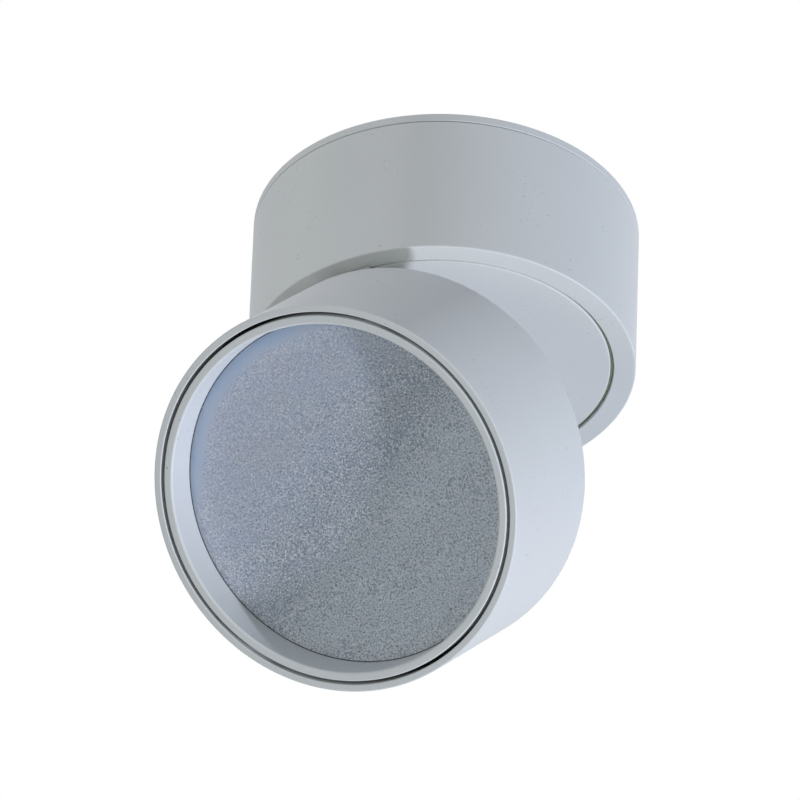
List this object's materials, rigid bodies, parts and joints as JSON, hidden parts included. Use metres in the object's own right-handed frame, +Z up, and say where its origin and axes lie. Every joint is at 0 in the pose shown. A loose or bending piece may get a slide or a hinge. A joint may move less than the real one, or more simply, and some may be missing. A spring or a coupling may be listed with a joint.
{
  "type": "surface mounted ceiling spotlight",
  "caption": "Surface mounted ceiling spotlight: a round base with a turntable in its underside and a round frosted head of the same diameter, hinged at its edge to tilt and turn.",
  "frame": {"origin": "middle of the base's ceiling face", "axes": "+Z up out of the ceiling face, the light hangs below it; the head leans out towards -Y, and its hinge axis runs along X"},
  "size_m": [0.1, 0.1307, 0.1483],
  "materials": {
    "coated_steel": "satin off-white coating on steel",
    "coated_casting": "satin off-white coating on cast aluminium",
    "steel": "zinc plated",
    "brass_tag": "plain",
    "bare_aluminium": "as cast",
    "black_rubber": "matt",
    "soft_white": "matt",
    "grey_pad": "matt",
    "white_plastic": "matt",
    "slide_plastic": "smooth",
    "green_board": "solder mask",
    "dark_parts": "matt",
    "white_board": "white solder mask",
    "led_yellow": "gloss",
    "frosted": "frosted, faintly sparkling"
  },
  "bodies": {
    "base": {"ceiling_plate": "coated_steel", "entry_grommet": "black_rubber", "terminal_block": "white_plastic", "terminal_screws": "steel", "terminal_fixings": "steel", "earth_tag": "brass_tag", "earth_screw": "steel", "cable_clamp": "white_plastic", "cable_clamp_screws": "steel", "driver_lid": "white_plastic", "driver_case": "white_plastic", "driver_board": "green_board", "driver_parts": "dark_parts", "driver_terminal": "white_plastic", "driver_screws": "steel", "stop_post": "steel", "base_can": "coated_casting", "can_set_screw": "steel", "lower_slide_ring": "slide_plastic", "upper_slide_ring": "slide_plastic", "circlip": "steel"},
    "turntable": {"turntable_disc": "coated_casting", "turntable_grommet": "black_rubber", "stop_pin": "steel", "hinge_yoke": "coated_casting", "yoke_screws": "steel", "hinge_bolt": "steel", "hinge_nut": "steel", "hinge_washers": "slide_plastic"},
    "head": {"head_shell": "coated_casting", "head_lug": "coated_casting", "lug_screws": "steel", "head_grommet": "black_rubber", "heat_sink": "bare_aluminium", "heat_sink_screws": "steel", "thermal_pad": "grey_pad", "led_board": "white_board", "leds": "led_yellow", "led_connector": "white_plastic", "led_board_screws": "steel", "reflector": "white_plastic", "diffuser_gasket": "soft_white", "diffuser": "frosted", "bezel_ring": "coated_casting", "groove_seal": "black_rubber"}
  },
  "joints": [
    {"name": "turntable_spin", "type": "hinge", "parent": "base", "child": "turntable", "pos_m": [0, 0, -0.043], "axis": [0, 0, 1], "range_deg": [-170, 170]},
    {"name": "head_tilt", "type": "hinge", "parent": "turntable", "child": "head", "pos_m": [0, -0.04475, -0.0492], "axis": [-1, 0, 0], "range_deg": [-43.8, 46.2]}
  ]
}
